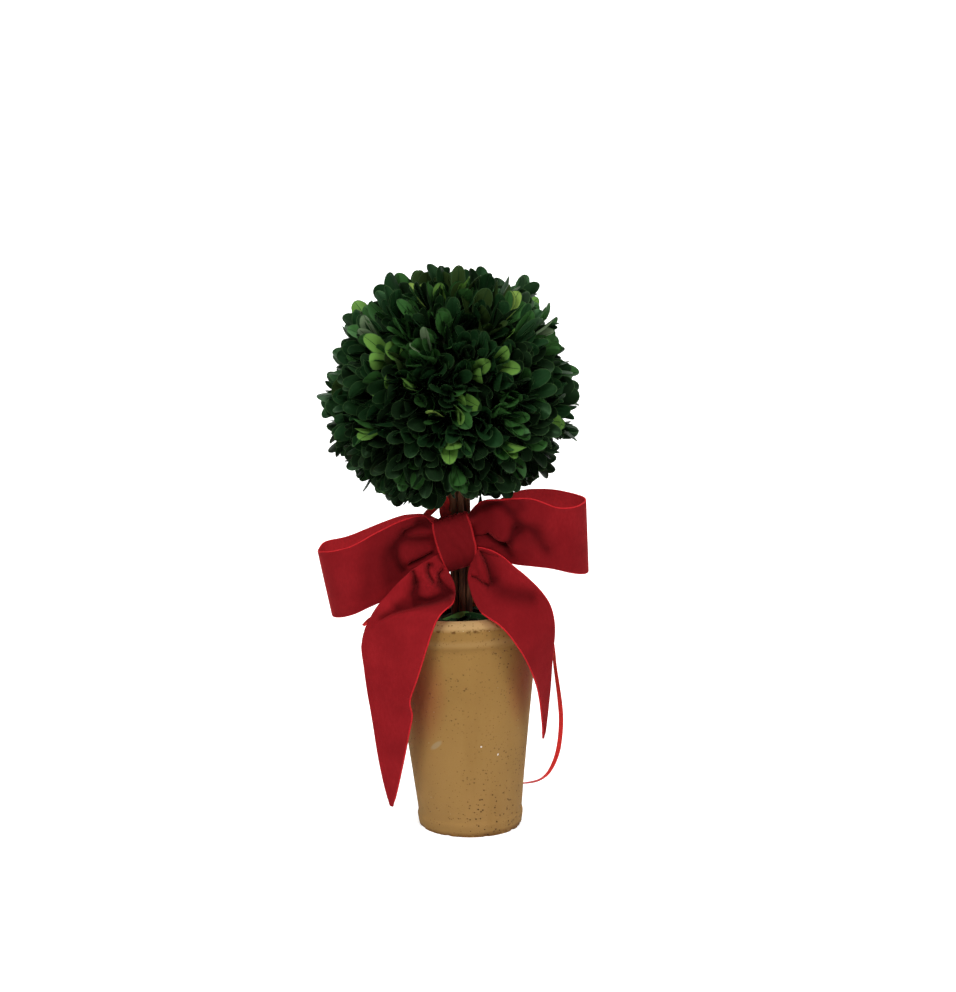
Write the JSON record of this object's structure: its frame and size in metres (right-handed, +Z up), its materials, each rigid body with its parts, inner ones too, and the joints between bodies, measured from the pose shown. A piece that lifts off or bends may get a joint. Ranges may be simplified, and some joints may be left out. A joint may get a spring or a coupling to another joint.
{
  "type": "potted dried boxwood tree",
  "caption": "Clipped ball of dried boxwood on a bundle of twigs in a tapered clay pot, with a red velvet bow tied under the ball; a table decoration.",
  "frame": {"origin": "middle of the pot's flat underside, where it stands on the table", "axes": "+Z up, the front with the bow faces -Y, +X to the right as seen from the front"},
  "size_m": [0.161, 0.146, 0.3415],
  "materials": {
    "pot": "unglazed tan clay with dark speckles",
    "filling": "dull dry foam",
    "leaves": "dried leaf, slight sheen",
    "bark": "dark rough bark",
    "velvet": "red cotton velvet",
    "satin": "red satin ribbon"
  },
  "bodies": {
    "root": {"pot": "pot", "filling": "filling", "leaf_mulch": "leaves", "stem_middle": "bark", "stem_1": "bark", "stem_2": "bark", "stem_3": "bark", "stem_4": "bark", "stem_5": "bark", "stem_6": "bark", "crown": "leaves", "bow_loop_left": "velvet", "bow_loop_right": "velvet", "bow_knot": "velvet", "bow_tail_left": "velvet", "bow_tail_right": "velvet", "tie_ring": "satin", "tie_end_left": "satin", "tie_end_right": "satin"}
  },
  "joints": []
}
